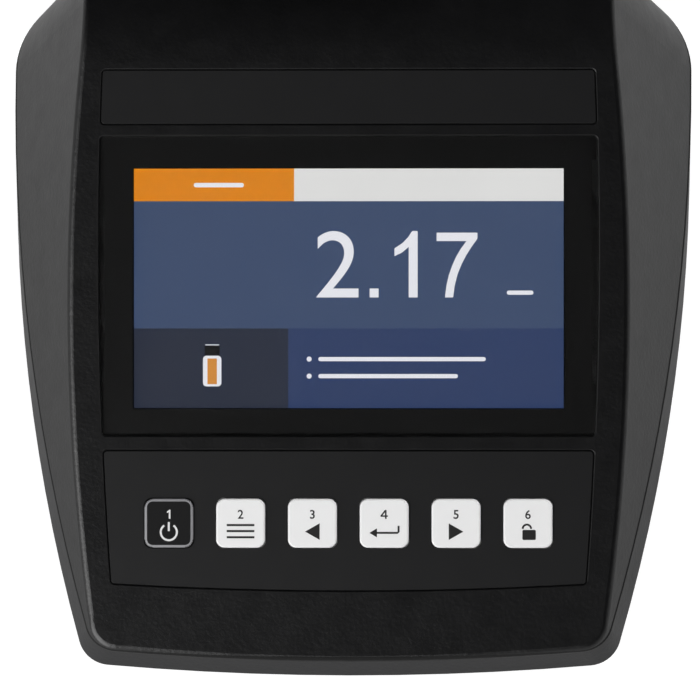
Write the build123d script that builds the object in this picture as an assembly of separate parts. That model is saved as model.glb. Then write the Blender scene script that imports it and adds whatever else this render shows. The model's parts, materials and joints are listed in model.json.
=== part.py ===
from build123d import *
import math
import os

# Bench turbidity meter: two-part moulded housing with an inclined face, inset panels, six keys,
# a measuring chamber under a hinged lid, and the electronics and optics that it holds.
# Millimetres and degrees. X is to the viewer's right, Y to the rear, Z up, table at Z 0.
# A setback is a distance behind the foremost edge. On the face, a slope is a distance up the
# face from its front edge, and a level is a distance along the face normal, 0 at the skin.

# Overall form
foot_height = 3.0
parting_height = 15.0
wall = 2.8
face_tilt = 18.0
face_start = 3.75
face_start_height = 16.5
face_wall = 3.0
roll_radius = 80.0

# Plan outlines: bowed sides and front. The widest places are distances from the rear edge.
side_margin = 35.6
side_radius = 783.0
side_widest = 61.5
base_tuck = 0.6
base_side_radius = 700.0
base_widest = 87.4
flank_draft = 23.2
front_bow_radius = 990.0
front_draft = 10.0
parting_front = 2.5
wing_to_rear = 30.3
front_corner = 12.0
wing_corner = 34.5
edge_softness = 2.5
base_softness = 2.0
sole_steps = 2

# Chamber block behind the wings
block_length = 102.0
block_half_width = 92.0
block_draft = 3.2
block_corner = 17.0

# Lit screen, and the display module round it
screen_width = 154.08
screen_height = 85.92
screen_border = 1.2
gasket_thickness = 0.5
gasket_rim = 2.7
module_side_rim = 5.46
module_end_rim = 7.04
module_thickness = 5.5
module_sheet = 0.5
panel_play = 0.15
rail_sheet = 1.0
rail_foot = 8.0
rail_flange = 12.0
rail_end_margin = 4.0

# Inset panels, from the front of the face upward
keypad_margin = 23.5
keypad_height = 50.6
keypad_bow_radius = 1430.0
lens_gap = 4.9
lens_end_margin = 10.79
lens_side_margin = 12.56
lens_thickness = 1.5
screen_drop = 0.75
strip_gap = 4.1
strip_height = 19.8
strip_thickness = 0.8
roll_gap = 2.6
panel_side_radius = 1640.0
panel_widest_rise = 13.7
panel_corner = 1.6
panel_gap = 0.35
panel_sink = 0.1
recess_bevel = 0.4

# Keys
key_names = ("key_power", "key_list", "key_left", "key_enter", "key_right", "key_lock")
key_size = 17.5
key_corner = 3.0
key_pitch = 25.7
key_drop = 0.9
key_rise = 0.9
key_softness = 0.8
key_travel = 0.6
key_play = 0.3
key_flange = 1.5
key_flange_thickness = 1.2
plunger_half = 2.2
plunger_length = 1.9
dome_radius = 4.5
dome_height = 0.9
dome_reserve = 0.1
board_thickness = 1.6
keypad_board_side = 13.0
keypad_board_end = 1.75
keypad_boss_side = 5.0
keypad_boss_end = 4.5

# Measuring chamber
vial_radius = 12.5
vial_clearance = 0.1
well_floor = 22.5
pad_thickness = 1.5
pad_ledge = 1.2
pad_play = 0.2
beam_height = 44.0
beam_radius = 2.5
optics_width = 54.0
optics_depth = 44.0
optics_corner = 4.0
optics_foot = 10.0
optics_foot_thickness = 3.0
optics_base = 19.0
optics_top_gap = 0.3
seat_depth = 6.0
seat_play = 0.1
lens_radius = 4.0
lens_depth = 1.5
lamp_radius = 2.5
lamp_length = 4.2
lamp_rim = 1.0
detector_radius = 4.1
optics_board_width = 16.0
collar_relief = 0.4
collar_wall = 3.5
collar_lip = 1.5
collar_thickness = 1.2
collar_play = 0.2

# Lid
lid_width = 76.0
lid_height = 13.7
lid_gap = 0.3
lid_wall = 2.2
lid_corner = 8.0
lid_softness = 3.0
lid_margin = 1.7
lid_to_rear = 11.5
hinge_radius = 4.2
knuckle_half = 19.7
knuckle_play = 0.8
ear_gap = 0.3
ear_width = 6.0
pin_radius = 1.5
pin_press = 0.02
pin_play = 0.08
baffle_play = 1.5
baffle_wall = 2.0
baffle_margin = 0.8
seal_thickness = 1.0
magnet_radius = 3.0
magnet_thickness = 2.0
magnet_play = 0.05
magnet_side_margin = 9.0
magnet_front_margin = 8.0
boss_lift = 0.3
lip_width = 24.0
lip_reach = 3.0
lip_thickness = 2.5

# Boards and small parts
main_board_width = 160.0
main_board_length = 110.0
main_board_to_well = 72.0
main_board_height = 10.0
standoff_radius = 3.2
screw_radius = 1.4
screw_play = 0.1
screw_head_radius = 2.6
screw_head_height = 1.6
board_margin = 6.0
cell_radius = 10.0
cell_thickness = 3.2
holder_wall = 1.4
beeper_radius = 6.0
beeper_height = 6.0
beeper_margin = 48.0
beeper_hole_radius = 1.2
cell_play = 0.2
cell_x = 55.0
cell_margin = 24.0
processor_size = 14.0
memory_width = 10.0
memory_depth = 13.0
converter_size = 8.0
chip_height = 1.2
chip_spacing = 30.0
capacitor_count = 3
capacitor_pitch = 12.0
capacitor_radius = 4.0
capacitor_height = 9.0
coil_x = -10.0
coil_radius = 5.0
coil_height = 5.0
socket_height = 4.0
socket_depth = 5.0
socket_inset = 8.0
socket_side = 2.0
keypad_socket_x = 24.0
ribbon_width = 24.0
ribbon_thickness = 0.4
ribbon_bend = 3.0
screw_bite = 3.2
screw_reserve = 2.0
driver_slot = 0.8
driver_depth = 0.9

# Rear ports
port_margin = 1.0
port_panel_width = 34.0
port_panel_height = 19.0
port_panel_thickness = 2.0
port_panel_base = 18.6
port_board_depth = 24.0
port_hole_inset = 3.6
port_board_rise = 0.8
port_spacing = 15.0
jack_width = 9.0
jack_height = 11.0
jack_length = 14.0
jack_nose_radius = 4.0
jack_bore = 2.75
jack_pin = 1.0
jack_wall = 1.0
usb_width = 12.0
usb_height = 11.0
usb_length = 16.0
usb_shell = 0.8
usb_tongue_width = 5.6
usb_tongue_height = 3.2
port_play = 0.2

# Case fastening and feet: distances in from the sides, then from the front or the rear
front_screw_side = 59.2
front_screw_margin = 25.2
middle_screw_side = 24.2
middle_screw_to_rear = 164.0
rear_screw_side = 12.0
rear_screw_to_rear = 20.0
post_radius = 4.2
case_screw_radius = 1.6
case_head_radius = 3.2
case_head_sink = 5.0
sleeve_wall = 1.6
foot_radius = 8.0
foot_sink = 1.0
foot_taper = 1.0
foot_play = 0.1
front_foot_side = 43.2
front_foot_margin = 25.2
rear_foot_side = 12.0
rear_foot_to_rear = 42.0
rib_count = 5
rib_thickness = 1.6
rib_height = 3.0

# The face from its front edge upward
tilt = math.radians(face_tilt)
keypad_low = keypad_margin
keypad_high = keypad_low + keypad_height
lens_low = keypad_high + lens_gap
lens_high = lens_low + screen_height + 2 * lens_end_margin
strip_low = lens_high + strip_gap
strip_high = strip_low + strip_height
roll_start = strip_high + roll_gap
screen_slope = (lens_low + lens_high) / 2 - screen_drop
key_slope = (keypad_low + keypad_high) / 2 - key_drop
panel_widest = screen_slope + panel_widest_rise

# The vial well, its collar and the lid, whose depths add up to that of the deck
well_radius = vial_radius + vial_clearance
collar_radius = well_radius + collar_relief + collar_wall
collar_flange = collar_radius + collar_lip
baffle_radius = collar_flange + baffle_play
lid_depth = 2 * (baffle_radius + baffle_wall + lid_wall + baffle_margin)
roll_setback = face_start + roll_start * math.cos(tilt)
deck_start = roll_setback + roll_radius * math.sin(tilt)
lid_front = deck_start + lid_margin
lid_rear = lid_front + lid_depth
overall_depth = lid_rear + lid_to_rear
well_setback = (lid_front + lid_rear) / 2
hinge_setback = lid_rear + hinge_radius + ear_gap
hinge_height = hinge_radius + knuckle_play
magnet_half_spacing = lid_width / 2 - magnet_side_margin
magnet_setback = lid_front + magnet_front_margin

# Half-widths, and what stands a distance in from the sides or the rear
panel_half_width = screen_width / 2 + lens_side_margin
side_half_width = panel_half_width + side_margin
base_half_width = side_half_width - base_tuck
wing_rear = overall_depth - wing_to_rear
block_start = overall_depth - block_length
module_width = screen_width + 2 * module_side_rim
module_height = screen_height + 2 * module_end_rim
main_board_rear = well_setback - main_board_to_well
main_board_front = main_board_rear - main_board_length
cell_setback = main_board_rear - cell_margin
beeper_setback = main_board_front + beeper_margin
port_centre = port_panel_width / 2 + port_margin + block_corner - block_half_width
port_board_height = port_panel_base + port_board_rise
case_screw_places = (
    (side_half_width - front_screw_side, front_screw_margin),
    (side_half_width - middle_screw_side, overall_depth - middle_screw_to_rear),
    (block_half_width - rear_screw_side, overall_depth - rear_screw_to_rear),
)
foot_places = (
    (side_half_width - front_foot_side, front_foot_margin),
    (block_half_width - rear_foot_side, overall_depth - rear_foot_to_rear),
)

# Heights and levels
front_y = -overall_depth / 2
face_plane = Plane(
    origin=(0, front_y + face_start, face_start_height),
    x_dir=(1, 0, 0),
    z_dir=(0, -math.sin(tilt), math.cos(tilt)),
)
roll_y = front_y + roll_setback
roll_height = face_start_height + roll_start * math.sin(tilt)
roll_centre_y = front_y + deck_start
roll_centre_height = roll_height - roll_radius * math.cos(tilt)
deck_height = roll_centre_height + roll_radius
far = 2 * overall_depth
panel_recess = lens_thickness + panel_sink
panel_bottom = -panel_recess
module_top = -face_wall - gasket_thickness
module_bottom = module_top - module_thickness
key_bottom = panel_bottom - key_play - key_flange_thickness
dome_top = key_bottom - plunger_length - key_travel - dome_reserve
keypad_board_top = dome_top - dome_height
keys_span = (len(key_names) - 1) * key_pitch + key_size
keypad_board_width = keys_span + 2 * keypad_board_side
keypad_board_height = key_size + 2 * (key_flange + keypad_board_end)
keypad_boss_x = keypad_board_width / 2 - keypad_boss_side
keypad_boss_slope = keypad_board_height / 2 - keypad_boss_end
hinge_z = deck_height + hinge_height
lid_base = deck_height + lid_gap


def on_face(x, slope, level):
    """Location on the inclined face."""
    return face_plane.location * Pos(x, slope, level)


def at(setback):
    """World Y of a setback."""
    return front_y + setback


def drum(radius, length):
    """Cylinder that stands on its local origin."""
    return Cylinder(radius, length, align=(Align.CENTER, Align.CENTER, Align.MIN))


def slab(width, depth, height):
    """Box that stands on its local origin, centred in plan."""
    return Box(width, depth, height, align=(Align.CENTER, Align.CENTER, Align.MIN))


def rounded_slab(width, depth, height, corner):
    """Slab with rounded vertical corners."""
    return extrude(RectangleRounded(width, depth, corner), height)


def upright_edges(solid, least):
    """Edges of a solid that rise by at least the given height, from front to rear."""
    rising = [edge for edge in solid.edges() if edge.bounding_box().size.Z > least]
    return sorted(rising, key=lambda edge: edge.center().Y)


def top_rim(solid):
    """Edges round the upward faces of a solid, without those between two such faces."""
    upward = [face for face in solid.faces() if face.normal_at().Z > 0.9]
    seams = [edge for face in upward for edge in face.edges()]
    return [edge for edge in seams if sum(edge.is_same(other) for other in seams) == 1]


def under_face(inset):
    """Everything below the face, its roll and the deck, a given depth under the skin."""
    foot = parting_height
    run = roll_y - front_y + far
    low_y = roll_y - run * math.cos(tilt) + inset * math.sin(tilt)
    low_z = roll_height - run * math.sin(tilt) - inset * math.cos(tilt)
    reach = roll_radius - inset
    start = (roll_centre_y - reach * math.sin(tilt), roll_centre_height + reach * math.cos(tilt))
    middle = (
        roll_centre_y - reach * math.sin(tilt / 2),
        roll_centre_height + reach * math.cos(tilt / 2),
    )
    finish = (roll_centre_y, roll_centre_height + reach)
    floor = min(foot, low_z) - wall
    profile = Polyline((low_y, low_z), start) + ThreePointArc(start, middle, finish)
    profile += Polyline(finish, (far, finish[1]), (far, floor), (low_y, floor), (low_y, low_z))
    section = make_face(Plane.YZ * profile)
    return extrude(section, far / 2, both=True)


def wing_volume(inset, softness):
    """Upper housing without the chamber block: drafted bowed flanks cut by the face."""
    centre_x = side_half_width - side_radius
    centre_y = at(overall_depth - side_widest)
    rise = deck_height - parting_height + roll_radius / 4
    draft = math.radians(flank_draft)
    foot = side_radius - inset / math.cos(draft)
    head = foot - rise * math.tan(draft)
    stand = (Align.CENTER, Align.CENTER, Align.MIN)
    flank = Cone(foot, head, rise, align=stand)
    lean = math.radians(front_draft)
    bow_foot = front_bow_radius - inset / math.cos(lean)
    bow = Cone(bow_foot, bow_foot - rise * math.tan(lean), rise, align=stand)
    depth = wing_rear - inset
    body = Pos(0, at(depth - far / 2), parting_height) * slab(far, far, rise)
    body &= Pos(0, at(parting_front) + front_bow_radius, parting_height) * bow
    body &= Pos(centre_x, centre_y, parting_height) * flank
    body &= Pos(-centre_x, centre_y, parting_height) * flank
    body = fillet(upright_edges(body, rise / 2)[-2:], wing_corner - inset)
    body = fillet(upright_edges(body, rise / 2)[:2], front_corner - inset)
    body &= under_face(inset)
    if softness:
        body = fillet(top_rim(body), softness)
    return body


def block_volume(inset, softness):
    """Chamber block behind the wings, above the parting line."""
    rise = deck_height - parting_height + roll_radius / 4
    lean = math.tan(math.radians(block_draft))
    foot = block_half_width - inset
    head = foot - rise * lean
    length = overall_depth - inset - block_start
    section = Polyline((-foot, 0), (foot, 0), (head, rise), (-head, rise), close=True)
    front = Plane(origin=(0, at(block_start), parting_height), x_dir=(1, 0, 0), z_dir=(0, -1, 0))
    body = extrude(front * make_face(section), -length)
    rear = [edge for edge in upright_edges(body, rise / 2) if edge.center().Y > at(block_start) + wall]
    body = fillet(rear, block_corner - inset)
    body &= under_face(inset)
    if softness:
        rim = [edge for edge in top_rim(body) if edge.center().Y > at(block_start) + wall]
        body = fillet(rim, softness)
    return body


def base_outline(inset):
    """Plan face of the lower housing at its foot."""
    centre_x = base_half_width - base_side_radius
    centre_y = at(overall_depth - base_widest)
    depth = wing_rear - base_softness - inset
    face = Pos(0, at(depth) - far / 2) * Rectangle(far, far)
    face &= Pos(0, front_y + front_bow_radius) * Circle(front_bow_radius - inset)
    face &= Pos(centre_x, centre_y) * Circle(base_side_radius - inset)
    face &= Pos(-centre_x, centre_y) * Circle(base_side_radius - inset)
    face = fillet(face.vertices().sort_by(Axis.Y)[-2:], wing_corner - inset)
    return fillet(face.vertices().sort_by(Axis.Y)[:2], front_corner - inset)


def lower_volume(inset, foot, softness):
    """Lower housing from its foot up to the parting line, with a stepped round along its sole."""
    rim = wing_volume(inset, 0).faces().sort_by(Axis.Z)[0]
    sections = []
    for step in range(sole_steps + 1):
        turn = math.radians(90 * step / sole_steps)
        shrink = inset + softness * (1 - math.sin(turn))
        height = foot + softness * (1 - math.cos(turn))
        sections.append((shrink, height))
    if not softness:
        sections = sections[-1:]
    faces = [Pos(0, 0, height) * base_outline(shrink).faces()[0] for shrink, height in sections]
    body = loft([faces[-1], rim], ruled=True)
    block = extrude(Pos(0, 0, sections[-1][1]) * block_outline(inset), parting_height - sections[-1][1])
    blocks = [Pos(0, 0, height) * block_outline(shrink).faces()[0] for shrink, height in sections]
    for low in range(len(faces) - 1):
        body += loft([faces[low], faces[low + 1]], ruled=True)
        block += loft([blocks[low], blocks[low + 1]], ruled=True)
    return body + block


def block_outline(inset):
    """Plan face of the chamber block at the parting line."""
    width = 2 * (block_half_width - inset)
    length = overall_depth - inset - block_start
    outline = Pos(0, at(block_start) + length / 2) * Rectangle(width, length)
    return fillet(outline.vertices().sort_by(Axis.Y)[-2:], block_corner - inset)


def panel_outline(low, high, grow, bow_radius=0.0):
    """Face of an inset panel in face coordinates: bowed sides and small corner radii."""
    bottom = low - grow
    top = high + grow

    def half(slope):
        drop = panel_side_radius - math.sqrt(panel_side_radius ** 2 - (slope - panel_widest) ** 2)
        return panel_half_width + grow - drop

    lift = 0.0
    if bow_radius:
        lift = bow_radius - math.sqrt(bow_radius ** 2 - half(bottom) ** 2)
    middle = (bottom + top) / 2
    right_low = (half(bottom + lift), bottom + lift)
    left_low = (-right_low[0], right_low[1])
    right_high = (half(top), top)
    left_high = (-half(top), top)
    edges = [
        ThreePointArc(right_low, (half(middle), middle), right_high),
        Line(right_high, left_high),
        ThreePointArc(left_high, (-half(middle), middle), left_low),
    ]
    if bow_radius:
        edges.append(ThreePointArc(left_low, (0, bottom), right_low))
    else:
        edges.append(Line(left_low, right_low))
    face = make_face(Curve() + edges)
    return fillet(face.vertices(), panel_corner + grow)


def panel_plate(low, high, thickness, bow_radius=0.0):
    """Plate that fills an inset, with its gap all round and a fine chamfer on its top edge."""
    plate = extrude(panel_outline(low, high, -panel_gap, bow_radius), thickness)
    plate = chamfer(plate.faces().sort_by(Axis.Z)[-1].edges(), recess_bevel / 2)
    return on_face(0, 0, -panel_sink - thickness) * plate


def panel_inset(low, high, depth, bow_radius=0.0):
    """Cutter for one inset, with a bevel round its mouth."""
    pocket = Pos(0, 0, -depth) * extrude(panel_outline(low, high, 0.0, bow_radius), depth + wall)
    mouth_low = Pos(0, 0, -recess_bevel) * panel_outline(low, high, 0.0, bow_radius)
    mouth_high = panel_outline(low, high, recess_bevel, bow_radius)
    mouth = loft([mouth_low.faces()[0], mouth_high.faces()[0]], ruled=True)
    return on_face(0, 0, 0) * (pocket + mouth)


def key_places():
    """Face x of each key."""
    return [(number - (len(key_names) - 1) / 2) * key_pitch for number in range(len(key_names))]


def keypad_boss_places():
    """Face x and slope of each boss that carries the keypad board."""
    offsets = (-keypad_boss_slope, keypad_boss_slope)
    return [(side * keypad_boss_x, key_slope + offset) for side in (-1, 1) for offset in offsets]


def case_posts():
    """Plan place of each case screw."""
    return [(side * x, at(setback)) for side in (-1, 1) for x, setback in case_screw_places]


def magnet_places():
    """Plan place of each lid magnet."""
    return [(side * magnet_half_spacing, at(magnet_setback)) for side in (-1, 1)]


def hinge_barrel(length):
    """Cylinder round the hinge axis, of a given length, centred on the lid."""
    return Rot(0, 90, 0) * Cylinder(hinge_radius, length)


def hinge_bore(radius):
    """Long cutter along the hinge axis."""
    return Pos(0, at(hinge_setback), hinge_z) * Rot(0, 90, 0) * Cylinder(radius, lid_width)


def hinge_ear(side):
    """One ear on the deck that carries the hinge pin."""
    centre = side * (knuckle_half + ear_gap + ear_width / 2)
    ear = Pos(centre, at(hinge_setback), hinge_z) * hinge_barrel(ear_width)
    stem = slab(ear_width, 2 * hinge_radius, hinge_height + wall)
    return ear + Pos(centre, at(hinge_setback), deck_height - wall) * stem


def top_cover():
    """Upper housing: shelled, with insets, windows, screw posts, ear pair and port window."""
    cavity = wing_volume(wall, 0) + block_volume(wall, 0)
    cavity &= under_face(face_wall)
    cover = wing_volume(0, edge_softness) + block_volume(0, edge_softness) - cavity
    cover -= panel_inset(strip_low, strip_high, strip_thickness + panel_sink)
    cover -= panel_inset(lens_low, lens_high, panel_recess)
    cover -= panel_inset(keypad_low, keypad_high, panel_recess, keypad_bow_radius)
    window = slab(screen_width + 2 * screen_border, screen_height + 2 * screen_border, far)
    cover -= on_face(0, screen_slope, -2 * face_wall) * window
    slot_width = keys_span + 2 * key_flange + 2 * key_play
    slot_height = key_size + 2 * key_flange + 2 * key_play
    cover -= on_face(0, key_slope, -2 * face_wall) * slab(slot_width, slot_height, far)
    for x, slope in keypad_boss_places():
        length = -face_wall - keypad_board_top
        boss = drum(standoff_radius, length) - drum(screw_radius - screw_play, length)
        cover += on_face(x, slope, keypad_board_top) * boss
    for x, y in case_posts():
        post = Pos(x, y, parting_height) * drum(post_radius, deck_height) & cavity
        cover += post
        cover -= Pos(x, y, parting_height) * drum(case_screw_radius, wall + screw_reserve)
    cover -= Pos(0, at(well_setback), deck_height - 2 * wall) * drum(collar_radius + collar_play, far)
    for x, y in magnet_places():
        pocket = drum(magnet_radius + magnet_play, far)
        cover -= Pos(x, y, deck_height - magnet_thickness) * pocket
    for side in (-1, 1):
        cover += hinge_ear(side)
    cover -= hinge_bore(pin_radius + pin_press)
    opening = slab(port_panel_width, 4 * wall, port_panel_height)
    cover -= Pos(port_centre, at(overall_depth), port_panel_base) * opening
    return cover


def bottom_case():
    """Lower housing: tray with screw sleeves, standoffs, foot pockets and floor ribs."""
    floor = foot_height + wall
    outer = lower_volume(0, foot_height, base_softness)
    case = outer - lower_volume(wall, floor, 0)
    sleeve_radius = case_screw_radius + screw_play + sleeve_wall
    head_room = case_head_radius + screw_play
    for x, y in case_posts():
        sleeve = drum(head_room + sleeve_wall, case_head_sink)
        sleeve += drum(sleeve_radius, parting_height - foot_height)
        case += Pos(x, y, foot_height) * sleeve & outer
        case -= Pos(x, y, 0) * drum(head_room, foot_height + case_head_sink - sleeve_wall)
        case -= Pos(x, y, 0) * drum(case_screw_radius + screw_play, far)
    for x, y in main_board_holes():
        standoff = drum(standoff_radius, main_board_height - floor)
        case += Pos(x, y, floor) * (standoff - drum(screw_radius - screw_play, far))
    for x, y in optics_holes():
        standoff = drum(standoff_radius, optics_base - floor)
        case += Pos(x, y, floor) * (standoff - drum(screw_radius - screw_play, far))
    for x, y in port_board_holes():
        standoff = drum(standoff_radius, port_board_height - floor)
        case += Pos(x, y, floor) * (standoff - drum(screw_radius - screw_play, far))
    for side in (-1, 1):
        for x, setback in foot_places:
            case -= Pos(side * x, at(setback), 0) * drum(foot_radius, foot_height + foot_sink)
    place = at((main_board_front + main_board_rear) / 2)
    for number in range(rib_count):
        x = (number - (rib_count - 1) / 2) * main_board_width / rib_count
        case += Pos(x, place, floor) * slab(rib_thickness, main_board_length, rib_height)
    return case


def main_board_holes():
    """Plan place of each main board screw."""
    half = main_board_width / 2 - board_margin
    rows = (main_board_front + board_margin, main_board_rear - board_margin)
    return [(side * half, at(row)) for side in (-1, 1) for row in rows]


def optics_holes():
    """Plan place of each optics block screw."""
    x = optics_width / 2 + optics_foot / 2
    y = optics_depth / 2 - optics_foot / 2
    return [(side * x, at(well_setback) + end * y) for side in (-1, 1) for end in (-1, 1)]


def port_board_centre():
    """World Y of the middle of the port board."""
    return at(overall_depth - port_panel_thickness) - port_board_depth / 2 - port_play


def port_board_holes():
    """Plan place of each port board screw."""
    x = port_panel_width / 2 - port_hole_inset
    y = port_board_centre() - port_board_depth / 2 + port_hole_inset
    return [(port_centre + side * x, y) for side in (-1, 1)]


def name_strip():
    """Bare strip above the display."""
    return panel_plate(strip_low, strip_high, strip_thickness)


def display_lens():
    """Clear lens with a dark printed border, over the display."""
    return panel_plate(lens_low, lens_high, lens_thickness)


def keypad_panel():
    """Panel with one opening for each key."""
    panel = panel_plate(keypad_low, keypad_high, lens_thickness, keypad_bow_radius)
    size = key_size + 2 * key_play
    for x in key_places():
        panel -= on_face(x, key_slope, -face_wall) * rounded_slab(size, size, 2 * face_wall, key_corner)
    return panel


def key(x):
    """Key cap with soft top edges, a flange under the panel and a plunger."""
    low = panel_bottom - key_play
    cap = rounded_slab(key_size, key_size, key_rise - low, key_corner)
    cap = fillet(cap.faces().sort_by(Axis.Z)[-1].edges(), key_softness)
    flange_size = key_size + 2 * key_flange
    body = Pos(0, 0, low) * cap
    body += Pos(0, 0, key_bottom) * slab(flange_size, flange_size, key_flange_thickness)
    plunger = slab(2 * plunger_half, 2 * plunger_half, plunger_length)
    body += Pos(0, 0, key_bottom - plunger_length) * plunger
    return on_face(x, key_slope, 0) * body


def key_domes():
    """Snap dome under each key, on the keypad board."""
    dome = Cone(dome_radius, dome_radius / 2, dome_height, align=(Align.CENTER, Align.CENTER, Align.MIN))
    return [on_face(x, key_slope, keypad_board_top) * dome for x in key_places()]


def keypad_board():
    """Circuit board under the keys."""
    board = slab(keypad_board_width, keypad_board_height, board_thickness)
    board = on_face(0, key_slope, keypad_board_top - board_thickness) * board
    for x, slope in keypad_boss_places():
        hole = drum(screw_radius, 4 * board_thickness)
        board -= on_face(x, slope, keypad_board_top - 2 * board_thickness) * hole
    return board


def lens_gasket():
    """Foam frame between the display module and the cover."""
    width = screen_width + 2 * screen_border
    height = screen_height + 2 * screen_border
    outer = slab(width + 2 * gasket_rim, height + 2 * gasket_rim, gasket_thickness)
    inner = slab(width, height, gasket_thickness)
    return on_face(0, screen_slope, module_top) * (outer - inner)


def lcd_frame():
    """Folded sheet frame of the display module, open over the picture."""
    frame = slab(module_width, module_height, module_thickness)
    inside = slab(
        module_width - 2 * module_sheet,
        module_height - 2 * module_sheet,
        module_thickness - 2 * module_sheet,
    )
    frame -= Pos(0, 0, module_sheet) * inside
    frame -= Pos(0, 0, module_thickness / 2) * slab(
        screen_width + 2 * screen_border, screen_height + 2 * screen_border, module_thickness
    )
    return on_face(0, screen_slope, module_bottom) * frame


def lcd_panel():
    """Glass and backlight inside the display frame."""
    rim = 2 * (module_sheet + panel_play)
    panel = slab(module_width - rim, module_height - rim, module_thickness - rim)
    return on_face(0, screen_slope, module_bottom + module_sheet + panel_play) * panel


def display_rails():
    """Two folded rails that hold the display module up against the cover."""
    edge = module_width / 2 + panel_play
    low = module_bottom - rail_sheet
    high = -face_wall
    points = [
        (edge - rail_foot, low),
        (edge + rail_sheet, low),
        (edge + rail_sheet, high - rail_sheet),
        (edge + rail_flange, high - rail_sheet),
        (edge + rail_flange, high),
        (edge, high),
        (edge, module_bottom),
        (edge - rail_foot, module_bottom),
    ]
    length = module_height - 2 * rail_end_margin
    start = screen_slope + length / 2
    section = make_face(Plane.XZ * Polyline(points, close=True))
    rail = on_face(0, start, 0) * extrude(section, length)
    return [rail, mirror(rail, Plane.YZ)]


def ribbon(points, width, centre_x):
    """Flat ribbon along a folded path in the YZ plane."""
    path = FilletPolyline(*points, radius=ribbon_bend)
    strip = extrude(Plane.YZ * trace(path, ribbon_thickness), width / 2, both=True)
    return Pos(centre_x, 0, 0) * strip


def face_point(slope, level):
    """World Y and Z of a place on the face."""
    point = face_plane.from_local_coords((0, slope, level))
    return point.Y, point.Z


def display_ribbon():
    """Ribbon from the back of the display straight down to its socket on the main board."""
    y, top = face_point(screen_slope - module_height / 4, module_bottom)
    low = main_board_height + board_thickness + socket_height
    return Pos(0, y, low) * slab(ribbon_width, ribbon_thickness, top - low - ribbon_thickness)


def keypad_ribbon():
    """Ribbon from the keypad board, folded down and back to its socket on the main board."""
    slope = key_slope + keypad_board_height / 2 - ribbon_thickness
    y, top = face_point(slope, keypad_board_top - board_thickness)
    low = main_board_height + board_thickness + socket_height / 2
    finish = at(main_board_front + socket_inset)
    return ribbon([(y, top - ribbon_thickness), (y, low), (finish, low)], ribbon_width / 2, keypad_socket_x)


def main_board():
    """Circuit board in the lower housing."""
    board = Pos(0, at(main_board_front + main_board_length / 2), main_board_height)
    board = board * slab(main_board_width, main_board_length, board_thickness)
    for x, y in main_board_holes():
        board -= Pos(x, y, main_board_height) * drum(screw_radius, board_thickness)
    return board


def on_board(x, setback, solid):
    """Solid that stands on the main board."""
    return Pos(x, at(setback), main_board_height + board_thickness) * solid


def ribbon_socket(width):
    """Upright socket for a ribbon of the given width."""
    return slab(width + 2 * socket_side, socket_depth, socket_height)


def board_chips():
    """Processor, memory, converter and the two ribbon sockets on the main board."""
    middle = (main_board_front + main_board_rear) / 2
    display_y, display_z = face_point(screen_slope - module_height / 4, module_bottom)
    keypad_setback = main_board_front + socket_inset + socket_depth / 2
    return [
        on_board(0, middle, slab(processor_size, processor_size, chip_height)),
        on_board(chip_spacing, middle, slab(memory_width, memory_depth, chip_height)),
        on_board(-chip_spacing, middle - processor_size, slab(converter_size, converter_size, chip_height)),
        on_board(0, display_y - front_y, ribbon_socket(ribbon_width)),
        on_board(keypad_socket_x, keypad_setback, ribbon_socket(ribbon_width / 2)),
    ]


def board_capacitors():
    """Upright capacitors in a row beside the power coil on the main board."""
    rear = main_board_rear - 4 * capacitor_radius
    first = coil_x - coil_radius - capacitor_pitch
    row = [first - number * capacitor_pitch for number in range(capacitor_count)]
    cans = [on_board(x, rear, drum(capacitor_radius, capacitor_height)) for x in row]
    return cans + [on_board(coil_x, rear, drum(coil_radius, coil_height))]


def clock_cell_holder():
    """Open cup on the main board for the clock cell."""
    cup = drum(cell_radius + holder_wall, cell_thickness + holder_wall)
    cup -= Pos(0, 0, holder_wall) * drum(cell_radius + cell_play, far)
    return on_board(cell_x, cell_setback, cup)


def clock_cell():
    """Coin cell for the clock."""
    return on_board(cell_x, cell_setback, Pos(0, 0, holder_wall) * drum(cell_radius, cell_thickness))


def beeper():
    """Sounder with a hole in its top."""
    can = drum(beeper_radius, beeper_height)
    can -= Pos(0, 0, beeper_height / 2) * drum(beeper_hole_radius, beeper_height)
    return on_board(-cell_x, beeper_setback, can)


def at_well(x, y, z, solid):
    """Solid placed from the axis of the vial well."""
    return Pos(x, at(well_setback) + y, z) * solid


def optics_top():
    """Height of the top of the optics block."""
    return deck_height - face_wall - optics_top_gap


def beam_ways():
    """Turn from the right and half-width of the block, for the lamp and then the two detectors."""
    to_lamp = (90, optics_depth / 2)
    to_scatter = (0, optics_width / 2)
    to_transmission = (-90, optics_depth / 2)
    return [to_lamp, to_scatter, to_transmission]


def beam_cutters(radius, start):
    """Cylinders along the beam paths to the front, the right and the rear."""
    cutters = []
    for turn, half in beam_ways():
        ray = Pos(start(half), 0, 0) * Rot(0, 90, 0) * drum(radius, optics_width)
        cutters.append(at_well(0, 0, beam_height, Rot(0, 0, -turn) * ray))
    return cutters


def optics_block():
    """Block with the vial well, three beam bores with their seats, and feet for its screws."""
    height = optics_top() - optics_base
    block = at_well(0, 0, optics_base, rounded_slab(optics_width, optics_depth, height, optics_corner))
    foot_width = optics_width + 2 * optics_foot
    block += at_well(0, 0, optics_base, slab(foot_width, optics_depth, optics_foot_thickness))
    block -= at_well(0, 0, well_floor, drum(well_radius - pad_ledge, far))
    block -= at_well(0, 0, well_floor + pad_thickness, drum(well_radius, far))
    for cutter in beam_cutters(beam_radius, lambda half: 0):
        block -= cutter
    for cutter in beam_cutters(detector_radius + seat_play, lambda half: half - seat_depth):
        block -= cutter
    for x, y in optics_holes():
        block -= Pos(x, y, optics_base) * drum(screw_radius, optics_foot_thickness)
    return block


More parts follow.
